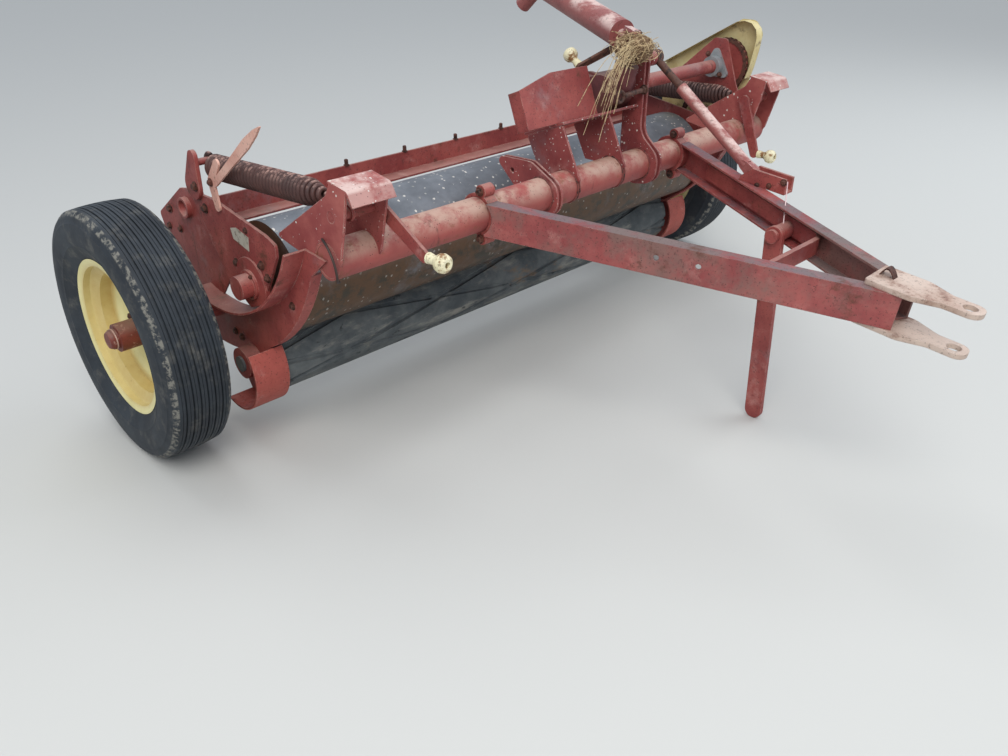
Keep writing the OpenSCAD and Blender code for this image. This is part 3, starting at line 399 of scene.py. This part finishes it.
LOOKS = {
    "red_paint": surface(
        "red_paint", "853836", "a14f48",
        worn_red + [dust_up],
        0.58,
        wear=("c99a8c", 0.003),
    ),
    "dark_red_paint": surface(
        "dark_red_paint", "542a2c", "783c3c",
        [grey_film, rust_patch, fine_rust, dust_up],
        0.6,
        wear=("9a7468", 0.003),
    ),
    "worn_red_paint": surface(
        "worn_red_paint", "7a3529", "5c2a22",
        [fine_rust, ("a78374", part(broad(60, 0.56, 0.66), 0.7)), dust_up],
        0.55,
    ),
    "orange_paint": surface(
        "orange_paint", "ad5448", "98443b",
        [chalky, rust_pits, fine_rust, dark_drips],
        0.6,
        wear=("dba696", 0.003),
    ),
    "pink_paint": surface("pink_paint", "e0b4a2", "c98d7c", [fine_rust], 0.6),
    "cream_paint": surface(
        "cream_paint", "ece5c4", "ddd2a6",
        [("8a6238", broad(34, 0.5, 0.6)), fine_rust],
        0.5,
    ),
    "yellow_paint": surface(
        "yellow_paint", "ded2a0", "d2c188",
        [("b79a5c", part(broad(6, 0.5, 0.7), 0.6)), rust_pits, rust_patch],
        0.5,
        wear=("6b3f26", 0.004),
    ),
    "silver_paint": surface(
        "silver_paint", "b4b8ba", "8f9496",
        [("6e5a4c", part(broad(40, 0.58, 0.68), 0.7))],
        0.42,
        0.4,
    ),
    "dull_steel": surface(
        "dull_steel", "666a70", "81858b",
        [
            # Brown where the faces look down and darker brown where they look further down: painted
            # shade and painted reflection of the ground on the steel's underside
            ("5f4530", both(top(0.5, -0.05), broad(8, 0.2, 0.5))),
            ("3f3a30", both(top(0.2, -0.3), broad(24, 0.45, 0.62))),
            ("a8a49c", part(lambda n: n.spots(60, 0.4, 0.3), 0.7)),
            ("d9d3ca", both(top(-0.1, 0.4), lambda n: n.spots(75, 0.5, 0.2))),
        ],
        0.4,
        0.35,
    ),
    "worn_steel": surface(
        "worn_steel", "cdb9ab", "b09484",
        [("7a5040", part(broad(14, 0.5, 0.66), 0.8)), fine_rust],
        0.55,
        0.2,
        wear=("dccabc", 0.004),
    ),
    "rusty_steel": surface(
        "rusty_steel", "4c3027", "6b4638",
        [("2a1d19", broad(60, 0.5, 0.62))],
        0.68,
    ),
    "tyre": surface(
        "tyre", "20262d", "2f363d",
        [("7a766c", part(broad(18, 0.5, 0.78), 0.5)), ("8d8a80", shoulder_dust)],
        0.72,
    ),
    "roll_rubber": surface(
        "roll_rubber", "43494c", "686c6c",
        [
            ("96938a", part(broad(18, 0.5, 0.7, (0.3, 1, 1)), 0.75)),
            ("80654a", part(broad(11, 0.58, 0.7, (0.5, 1, 1)), 0.7)),
            ("1f2325", part(broad(34, 0.6, 0.68, (0.5, 1, 1)), 0.8)),
        ],
        0.75,
    ),
    "seal": surface("seal", "c3a598", "a98678", [], 0.6, bump=0),
    "spring": surface(
        "spring", "38221f", "55342e",
        # Pale patches on the coils' faces that look up: painted highlight
        [("a07d72", both(broad(60, 0.45, 0.6), top(0.35, 0.95)))],
        0.6,
    ),
    "dark_bolt": surface(
        "dark_bolt", "4a2e26", "6c4438",
        [("2a1c18", broad(90, 0.5, 0.62))],
        0.6,
        0.3,
    ),
    "weld": surface("weld", "6e3430", "8a4a44", [("3a241e", broad(90, 0.48, 0.6))], 0.6),
    "foil": surface(
        "foil", "c9c4b6", "a9a08c",
        [("6f5a44", part(broad(60, 0.52, 0.64), 0.8))],
        0.45,
        0.3,
    ),
    "wire": surface("wire", "241c1a", "41302a", [], 0.6),
    "straw": surface("straw", "d2bc92", "a98e68", [("6d5338", broad(80, 0.52, 0.62))], 0.7, bump=0),
    "chaff": surface("chaff", "5a4331", "7f6446", [("b39a78", broad(90, 0.52, 0.62))], 0.9),
}

# Looks of nodes that differ from the rest of their slot

NODE_LOOKS = {
    "rim": surface(
        "rim_paint", "e9dfa4", "ddd293",
        [("bf9a4e", ochre), ("8a6b3a", part(broad(60, 0.64, 0.72), 0.7))],
        0.48,
    ),
    "splashed_red": surface(
        "splashed_red", "7c3636", "9c4c48",
        [chalky, grey_film, rust_pits, dust_up, white_drops, white_spots],
        0.6,
        wear=("d0a89c", 0.003),
    ),
    "hood_painted_highlight": surface(
        "hood_painted_highlight", "8c3e3c", "ab5e56",
        [
            # Pale pink patches on the faces that look up: painted highlight
            ("d0b4ac", both(top(0.2, 0.8), broad(10, 0.35, 0.55))),
            rust_pits, dark_drips, white_drops, white_spots,
        ],
        0.6,
        wear=("d8b6aa", 0.003),
    ),
    "rubbed_leg": surface(
        "rubbed_leg", "8a3d3d", "a65853",
        [
            chalky,
            ("6d6066", both(top(0.45, 0.9), broad(6, 0.42, 0.6))),
            ("74625a", part(broad(3, 0.46, 0.62), 0.7)),
            rust_patch, fine_rust, rust_pits,
        ],
        0.55,
        wear=("c9a093", 0.003),
    ),
    "dusty_tube": surface(
        "dusty_tube", "a04e48", "8c4240",
        [
            ("b59484", both(top(-0.2, 0.8), broad(12, 0.35, 0.6))),
            ("7c4a30", part(broad(20, 0.56, 0.66), 0.7)),
            rust_pits, dark_drips,
        ],
        0.6,
        wear=("c9a08f", 0.003),
    ),
    "shaft_paint": surface(
        "shaft_paint", "a2605a", "8c4a48",
        # Pale pink streaks along the faces that look up: painted highlight on the shafts, with real grey
        # film and fine rust
        [("d8bcb4", both(top(0, 0.7), broad(16, 0.42, 0.6, (1, 0.4, 1)))), grey_film, fine_rust],
        0.55,
    ),
}
LOOK_OF_NODE = {
    "rim_right": "rim",
    "rim_left": "rim",
    "crank_bracket_right": "hood_painted_highlight",
    "crank_bracket_left": "hood_painted_highlight",
    "gearbox_mount": "splashed_red",
    "tube_hanger": "splashed_red",
    "tongue_leg_right": "rubbed_leg",
    "tongue_leg_left": "rubbed_leg",
    "main_tube": "dusty_tube",
    "strut_tube": "shaft_paint",
    "driveline": "shaft_paint",
}

for row in frame["record"]["subparts"]:
    look = NODE_LOOKS.get(LOOK_OF_NODE.get(row["node"]), LOOKS[row["material_slot"]])
    for node_slot in frame["nodes"][row["node"]].material_slots:
        node_slot.material = look


def side_name(side):
    return "left" if side > 0 else "right"


# Ribbed tyres: straight grooves round the tread, narrow cuts on the ribs and notched shoulders

TREAD_HALF = 65.5
CROWN_DROP = 4
# Grooves and cuts as (place across, width, depth)
GROOVES = [(x, 4.5, 5) for x in (-47, -28, -9.5, 9.5, 28, 47)]
CUTS = [(x, 1.6, 2) for x in (-37.5, -19, 0, 19, 37.5, -56, 56)]
# Half of the section as (place across, radius), the shoulder with the depth of its notches too
SHOULDER = [(TREAD_HALF, 330, 0), (67.5, 328.8, 2.4), (72.5, 323.8, 2.4), (75.2, 320.8, 0)]
WALL = [
    (76.5, 318.8), (78.6, 311), (80.6, 302), (81.8, 301.2), (83, 290), (84.4, 278), (84.4, 270),
    (83.4, 258), (81, 248), (81.6, 246.6), (79.2, 243.6), (75.4, 235), (70, 225.5), (64.2, 216.8),
    (63.4, 212.4), (60.5, 208.8), (56, 206), (55.5, 195),
]
LINING = [(42, 194), (60.5, 242), (70.5, 272), (61.5, 310), (0, 315)]


def crown(x):
    """Radius of the tread at the place x across it."""
    return TYRE_R - CROWN_DROP * (x / TREAD_HALF) ** 2


def tyre_profile():
    """Points (across, radius, notch depth) once round the tyre's section."""
    tread = []
    for middle, width, depth in sorted(GROOVES + CUTS):
        half = width / 2
        for x, drop in ((-half, 0), (-half + 0.5, depth), (half - 0.5, depth), (half, 0)):
            tread.append((middle + x, crown(middle + x) - drop, 0))
    outer = [(x, r, 0) for x, r in WALL]
    inner = [(x, r, 0) for x, r in LINING]
    mirrored_shoulder = [(-x, r, n) for x, r, n in reversed(SHOULDER)]
    mirrored_wall = [(-x, r, n) for x, r, n in reversed(outer + inner[:-1])]
    return mirrored_shoulder + tread + SHOULDER + outer + inner + mirrored_wall


def tyre(side, steps=252):
    """Tyre with its shoulders notched at every third step round it."""
    section = tyre_profile()
    rings = []
    for j in range(steps):
        a = math.tau * j / steps
        ring = []
        for x, r, notch in section:
            if j % 3 == 0:
                r -= notch
            ring.append((side * (WHEEL_X + x), r * math.cos(a), TYRE_R + r * math.sin(a)))
        rings.append(ring)
    build = Build()
    build.rings(rings, closed=True)
    name = side_name(side)
    build.make(f"ribbed_tyre_{name}", LOOKS["tyre"], f"wheel_{name}", [f"tyre_{name}"], 50)


def hub_seam(side):
    """Pale seam round the hub."""
    section = [(66, 26.6), (66, 27.6), (69, 27.6), (69, 26.6)]
    seam = Build()
    seam.turned((side * WHEEL_X, *AXLE), (side, 0, 0), section, 40)
    seam.make(f"hub_seal_{side_name(side)}", LOOKS["seal"], f"wheel_{side_name(side)}")


VALVE_R = 164
VALVE_TURN = 2.2


def valve(side):
    """Rubber valve stem that leans outward from the rim."""
    from_axle = Vector((0, math.cos(VALVE_TURN), math.sin(VALVE_TURN)))
    foot = Vector((side * (WHEEL_X + 20), *AXLE)) + VALVE_R * from_axle
    lean = X * (side * 0.82) - 0.57 * from_axle
    stem = Build()
    stem.tube([foot, foot + 6 * lean, foot + 24 * lean, foot + 30 * lean], [6, 4.5, 4, 3.6], 12)
    stem.make(f"valve_{side_name(side)}", LOOKS["tyre"], f"wheel_{side_name(side)}")


for side in (-1, 1):
    tyre(side)
    hub_seam(side)
    valve(side)


# Helical roll springs with hooks

SPRING_R = 33
WIRE = 6.3
COIL_PITCH = 13
STEPS_A_TURN = 22
# Free length at the lug's end
HOOK_A = 18
HOOK_R = 15.2
HOOK_TURN = 215
# Turns over which the coils narrow towards the crank, and how much
TAPER = 4
NARROWING = 0.62
# Heights of the lug's pin and of the crank's lever, and the free length at the crank's end
SPRING_PLACES = {-1: (732, 742, 48), 1: (703, 715, 66)}


def spring(side):
    """One wire from the hook over the lug's pin, through the coils, to the crank's lever."""
    pin_z, lever_z, hook_b = SPRING_PLACES[side]
    pin = Vector((side * 866, -16, pin_z))
    start = pin + Vector((0, 6, -15.5))
    end = Vector((side * 838, -540, lever_z))
    along = (end - start).normalized()
    across = (X - along * X.dot(along)).normalized()
    up = across.cross(along)
    if up.z < 0:
        up = -up
    span = (end - start).length
    coils = int((span - HOOK_A - hook_b) // COIL_PITCH)
    pitch = (span - HOOK_A - hook_b) / coils
    turns = coils - 1
    steps = turns * STEPS_A_TURN
    low = HOOK_A + pitch / 2
    high = low + turns * pitch
    reach = SPRING_R - 6.5
    path = []

    def turn_point(height, share, radius):
        a = math.tau * share
        return start + along * height + radius * (across * math.sin(a) - up * math.cos(a))

    # Hook over the lug's pin, then out to the coils
    centre = start + along * (pin - start).dot(along) + up * HOOK_R
    for k in range(12):
        a = math.radians(HOOK_TURN - HOOK_TURN * k / 12)
        path.append(centre - along * (HOOK_R * math.sin(a)) - up * (HOOK_R * math.cos(a)))
    path.append(start + along * 8)
    for k in range(1, 8):
        share = k / 8
        path.append(turn_point(8 + (low - 8) * share, 0.6 * share - 0.6, reach * share**0.8))
    for k in range(steps + 1):
        share = k / steps
        narrow = max(0, (share - 1 + TAPER / turns) * turns / TAPER)
        radius = reach * (1 - NARROWING * narrow**1.3)
        path.append(turn_point(low + turns * pitch * share, turns * share, radius))
    for k in range(1, 9):
        share = k / 8
        radius = (1 - NARROWING) * reach * (1 - share) ** 0.8
        path.append(turn_point(high + 12 * share, turns + 0.6 * share, radius))
    # Bent end through the crank's lever
    eye = end + across * 10.5
    path += [
        start + along * (high + 20),
        eye - along * 18,
        eye - along * 6,
        eye - across * 3,
        end,
        end - across * 14,
    ]
    build = Build()
    build.tube(path, WIRE, 10)
    name = side_name(side)
    build.make(f"coil_spring_{name}", LOOKS["spring"], "frame", [f"spring_{name}"], 60)


for side in (-1, 1):
    spring(side)


# Bolts and nuts

OUT = (-1, 0, 0)
# Outer faces of the near roll arm plate and of the near end frame's web
ARM_FACE = -905
WEB_FACE = -891
# As (x, y, z, head radius, stub, 1 where the far end has it too)
END_BOLTS = [
    (ARM_FACE, -27, 616, 10, 0, 1), (ARM_FACE, -151, 503, 9, 0, 1), (ARM_FACE, -224, 607, 6, 0, 1),
    (ARM_FACE, -278, 531, 9, 4, 1), (ARM_FACE, -301, 504, 9, 4, 1), (ARM_FACE, -241, 450, 8, 0, 1),
    (-915, -12, 672, 10, 0, 1), (WEB_FACE, -375, 450, 8, 0, 1), (WEB_FACE, -51, 268, 8, 0, 1),
    (WEB_FACE, 224, 554, 10, 0, 1), (WEB_FACE, 179, 505, 8, 0, 1), (WEB_FACE, 247, 498, 8, 0, 1),
    (-911.3, -95, 700, 8, 3, 0), (-897, -96, 268, 8, 0, 1),
]
ROLL_BOLT_X = 917
ROLL_BOLT_CIRCLE = 35
# Places (y, z) of the flange bearing's bolts on its plate
FLANGE_FACE = 853
FLANGE_BOLTS = [(-353, 835), (-407, 771), (-325, 771)]
BAR_STUDS = [-425, -205, 7, 215, 425]
BAR_TOP = (27, 621)
STUD = [(0, 9), (3, 9), (4, 6), (17, 6), (19, 4)]
# Slope of the tongue when the machine is parked
SLOPE = math.tan(math.radians(5.6))
CLAMP_X = 412
CLAMP_BOLT_RISE = 62
# Near face of the strut bracket's ear
EAR_FACE = 277
NUT_X = 1117
NUT_CIRCLE = 57


def sized_bolt(build, place, axis, head, stub):
    """Bolt whose height and washer follow from its head."""
    build.bolt(place, axis, head, head * 0.7, head * 1.35, stub)


def frame_bolts():
    """Bolts of the end frames, the roll's bearings and the flange bearing, and the rear bar's studs."""
    build = Build()
    for x, y, z, head, stub, mirrored in END_BOLTS:
        sized_bolt(build, (x, y, z), OUT, head, stub)
        if mirrored:
            sized_bolt(build, (-x, y, z), X, head, stub)
    for y, z in FLANGE_BOLTS:
        sized_bolt(build, (FLANGE_FACE, y, z), OUT, 7, 4)
    for x in BAR_STUDS:
        build.turned((x, *BAR_TOP), Z, STUD, 12)
    for side in (-1, 1):
        for k in range(3):
            a = 2.2 + k * math.tau / 3
            y = UPPER_ROLL[0] + ROLL_BOLT_CIRCLE * math.cos(a)
            z = UPPER_ROLL[1] + ROLL_BOLT_CIRCLE * math.sin(a)
            build.bolt((side * ROLL_BOLT_X, y, z), (side, 0, 0), 5, 4, 6)
    build.make("frame_bolts", LOOKS["dark_bolt"], "frame")


def tongue_bolts():
    """Bolts of the tongue's clamps and of the strut bracket, and the clip on the hitch strap."""
    build = Build()
    for side in (-1, 1):
        for e in (-1, 1):
            lug = Vector((side * CLAMP_X, -554, MAIN_TUBE[1] + e * CLAMP_BOLT_RISE))
            build.bolt(lug - X * 20, OUT, 9, 7, 12)
            build.bolt(lug + X * 20, X, 9, 6, 12, 5)
    for y, z in ((-922, 616), (-958, 622)):
        build.bolt((EAR_FACE, y, z), OUT, 6, 4, 8)
    # Bent clip at the rear of the upper hitch strap
    strip = []
    for k, crest in enumerate((0, 9, 16, 20, 20, 16, 9, 0)):
        y = -1404 - 5 * k
        foot = 603 + (y + 592) * SLOPE + 55 + crest
        strip.append([Vector((4 + w, y, foot + h)) for w, h in ((-11, -4), (11, -4), (11, 0), (-11, 0))])
    build.rings(strip)
    build.make("tongue_bolts", LOOKS["dark_bolt"], "tongue")


def wheel_nuts(side):
    """Five nuts round the hub."""
    build = Build()
    for k in range(5):
        a = 0.4 + k * math.tau / 5
        place = (side * NUT_X, NUT_CIRCLE * math.cos(a), TYRE_R + NUT_CIRCLE * math.sin(a))
        build.bolt(place, (side, 0, 0), 9, 11, 11, 3)
    build.make(f"wheel_nuts_{side_name(side)}", LOOKS["dark_bolt"], f"wheel_{side_name(side)}")


frame_bolts()
tongue_bolts()
for side in (-1, 1):
    wheel_nuts(side)

# Blank diamond of pale worn metal foil on the near roll arm

FOIL = [(-147, 594), (-176, 602), (-232, 591), (-226, 553), (-155, 568)]
plate = Build()
plate.rings([[(x, y, z) for y, z in FOIL] for x in (ARM_FACE, ARM_FACE - 1)])
plate.make("blank_foil", LOOKS["foil"], "frame")

# Plates that close the main tube's ends

TUBE_END = 880
CAP_R = 38.4
CAP_T = 4
caps = Build()
for side in (-1, 1):
    caps.turned((side * TUBE_END, *MAIN_TUBE), (side, 0, 0), [(0, CAP_R), (CAP_T, CAP_R)], 40)
caps.make("tube_caps", NODE_LOOKS["dusty_tube"], "frame")


WIRE_BEND = 51
WIRE_STEPS = 16


def tube_wire():
    """Bent wire hooked round the main tube's near end."""
    points = []
    for k in range(WIRE_STEPS + 1):
        a = math.radians(118 - 11.5 * k)
        bulge = 28 * math.sin(math.pi * k / WIRE_STEPS) ** 0.6
        y = MAIN_TUBE[0] - WIRE_BEND * math.cos(a)
        points.append(Vector((-872 - bulge, y, MAIN_TUBE[1] + WIRE_BEND * math.sin(a))))
    build = Build()
    build.tube(points, 3, 8)
    build.make("tube_wire", LOOKS["wire"], "frame")


tube_wire()

# Weld beads where the plates on the main tube meet it

TUBE_R = 44.5
# Both faces of each plate, the one towards -X first
PLATE_FACES = [-192, -186, -176, -170, -90, -84, 108, 114, 236, 242, 256, 262]


def weld_bead(face, lean):
    """Wavy ring round the tube beside a plate's face; lean is the side that it lies on."""
    bead = []
    for k in range(48):
        a = math.tau * k / 48
        swell = 2.6 + 0.5 * math.sin(11 * a + face)
        ring = []
        for i in range(6):
            b = math.tau * i / 6
            x = face + lean * (swell * 0.5 + swell * math.cos(b))
            r = TUBE_R + swell * 0.4 + swell * math.sin(b)
            ring.append(Vector((x, MAIN_TUBE[0] + r * math.cos(a), MAIN_TUBE[1] + r * math.sin(a))))
        bead.append(ring)
    return bead


welds = Build()
for face, lean in zip(PLATE_FACES, [-1, 1] * 6):
    welds.rings(weld_bead(face, lean), closed=True)
welds.make("tube_welds", LOOKS["weld"], "frame", angle=80)


EYE_AT = (124, -545, 821)
EYE_R = 15
EYE_WIRE = 5


def eye_bolt():
    """Eye bolt on the mount's upright."""
    x, y, z = EYE_AT
    loop = []
    for k in range(24):
        a = math.tau * k / 24
        ring = []
        for i in range(8):
            b = math.tau * i / 8
            r = EYE_R + EYE_WIRE * math.cos(b)
            ring.append(Vector((x + r * math.cos(a), y + EYE_WIRE * math.sin(b), z + r * math.sin(a))))
        loop.append(ring)
    build = Build()
    build.tube([(238, -545, 826), (140, -545, 822)], 7, 12)
    build.rings(loop, closed=True)
    build.bolt((234, -545, 826), OUT, 11, 9, 14)
    build.make("eye_bolt", LOOKS["rusty_steel"], "frame")


eye_bolt()

# Turned lip round the front and top of the chain cover

LIP_OUT = 983
LIP_IN = 945
LIP = [
    (-452, 752), (-463, 790), (-474, 850), (-478, 890), (-472, 915), (-452, 934), (-424, 939),
    (-395, 934), (-330, 898), (-200, 824), (-96, 765),
]


def cover_lip():
    """Thin strip along the cover's edge."""
    strip = []
    for y, z in LIP:
        inside = (y * 0.992 - 3.2, z * 0.996 + 3.2)
        strip.append([(LIP_OUT, y, z), (LIP_IN, y, z), (LIP_IN, *inside), (LIP_OUT, *inside)])
    build = Build()
    build.rings(strip)
    build.make("cover_lip", LOOKS["yellow_paint"], "frame", angle=40)


cover_lip()

# Straw wound into the universal joint, with loose stalks hanging from it

STRAW_AT = Vector((168, -548, 946))


def any_way():
    return Vector([random.gauss(0, 1) for _ in range(3)]).normalized()


def wound_stalk(ball):
    """Stalk bent round the joint, some with an end that stands off."""
    axis = any_way()
    side = axis.orthogonal().normalized()
    other = axis.cross(side)
    radius = random.uniform(40, 62)
    begin = random.uniform(0, math.tau)
    sweep = random.uniform(0.7, 2.2)
    drift = random.uniform(-20, 20)
    fly = random.choice((0, 0, 14, 26))
    points = []
    for k in range(8):
        a = begin + sweep * k / 7
        r = radius + 4 * math.sin(3 * a + drift) + fly * (k / 7) ** 2
        p = side * (r * math.cos(a)) + other * (r * math.sin(a)) + axis * drift * k / 7
        points.append(STRAW_AT + Vector((p.x * 1.15, p.y, p.z * 0.72)))
    ball.tube(points, random.uniform(0.5, 1.0), 4)


def hanging_stalk(ball):
    """Bowed stalk that hangs from the joint."""
    x = random.uniform(-74, -20)
    y = random.uniform(-50, -10)
    p = STRAW_AT + Vector((x, y, random.uniform(-10, 34)))
    far = random.choice((0.45, 0.6, 0.8, 1.0)) * random.uniform(0.85, 1.1)
    x = random.uniform(-205, -120)
    y = random.uniform(-40, 10)
    end = Vector((x, y, random.uniform(-215, -150))) * far
    bow = random.uniform(10, 34)
    points = [p + Vector((34, 8, 4))]
    for k in range(9):
        share = k / 8
        arc = bow * math.sin(math.pi * share)
        sway = random.uniform(-1.2, 1.2)
        lift = random.uniform(-1.2, 1.2)
        points.append(p + end * share + Vector((-arc * 0.4 + sway, 0, arc + lift)))
    ball.tube(points, random.uniform(0.5, 0.9), 4)


def straw():
    ball = Build()
    for _ in range(120):
        wound_stalk(ball)
    for _ in range(30):
        hanging_stalk(ball)
    ball.make("caught_straw", LOOKS["straw"], "joint_cross", angle=60)
    chaff = Build()
    for _ in range(90):
        d = any_way()
        c = STRAW_AT + Vector((d.x * 48, d.y * 40, d.z * 30))
        flake = [(-9, 5), (-5, 13), (2, 15), (8, 9), (11, 3)]
        chaff.turned(c, d, flake, 7, random.uniform(0, 1))
    chaff.make("caught_chaff", LOOKS["chaff"], "joint_cross", angle=180)


straw()

# Bolt that the twine is tied to

knot = Build()
knot.bolt((EAR_FACE, -1000, 640), OUT, 7, 6, 10)
knot.make("twine_bolt", LOOKS["dark_bolt"], "tongue")


# Floor and light

# Half the floor's width in metres
FLOOR = 40
floor_corners = [(-FLOOR, -FLOOR, 0), (FLOOR, -FLOOR, 0), (FLOOR, FLOOR, 0), (-FLOOR, FLOOR, 0)]
floor_mesh = bpy.data.meshes.new("floor")
floor_mesh.from_pydata(floor_corners, [], [(0, 1, 2, 3)])
floor = bpy.data.objects.new("floor", floor_mesh)
bpy.context.scene.collection.objects.link(floor)
floor_look = bpy.data.materials.new("floor")
floor_look.use_nodes = True
floor_look.node_tree.nodes["Principled BSDF"].inputs["Base Color"].default_value = rgb("c4c4c0")
floor_look.node_tree.nodes["Principled BSDF"].inputs["Roughness"].default_value = 0.9
floor_mesh.materials.append(floor_look)


def lamp(name, kind, place, target, energy, size, colour=(1, 1, 1)):
    data = bpy.data.lights.new(name, kind)
    data.energy = energy
    data.color = colour
    if kind == "AREA":
        data.size = size
    else:
        data.angle = size
    made = bpy.data.objects.new(name, data)
    bpy.context.scene.collection.objects.link(made)
    made.location = place
    made.rotation_mode = "QUATERNION"
    made.rotation_quaternion = (Vector(target) - Vector(place)).to_track_quat("-Z", "Y")
    return made


lamp("key", "AREA", (-3.5, -3.0, 5.5), (0, 0, 0.4), 330, 4.5, (1, 0.98, 0.95))
lamp("fill", "AREA", (4.5, -2.0, 4.0), (0, 0, 0.4), 120, 4, (0.92, 0.96, 1))
lamp("sky", "SUN", (1, 3, 6), (0, 0, 0), 0.9, 0.7, (0.95, 0.97, 1))

world = bpy.data.worlds.new("studio")
bpy.context.scene.world = world
world.use_nodes = True
tree = world.node_tree
tree.nodes.clear()
out = tree.nodes.new("ShaderNodeOutputWorld")
ray = tree.nodes.new("ShaderNodeLightPath")
seen = tree.nodes.new("ShaderNodeBackground")
seen.inputs["Color"].default_value = rgb("d8dad8")
seen.inputs["Strength"].default_value = 0.9
lit = tree.nodes.new("ShaderNodeBackground")
lit.inputs["Color"].default_value = (0.8, 0.88, 1, 1)
lit.inputs["Strength"].default_value = 0.55
pick = tree.nodes.new("ShaderNodeMixShader")
tree.links.new(ray.outputs["Is Camera Ray"], pick.inputs[0])
tree.links.new(lit.outputs[0], pick.inputs[1])
tree.links.new(seen.outputs[0], pick.inputs[2])
tree.links.new(pick.outputs[0], out.inputs[0])

bpy.context.scene.view_settings.view_transform = "Standard"
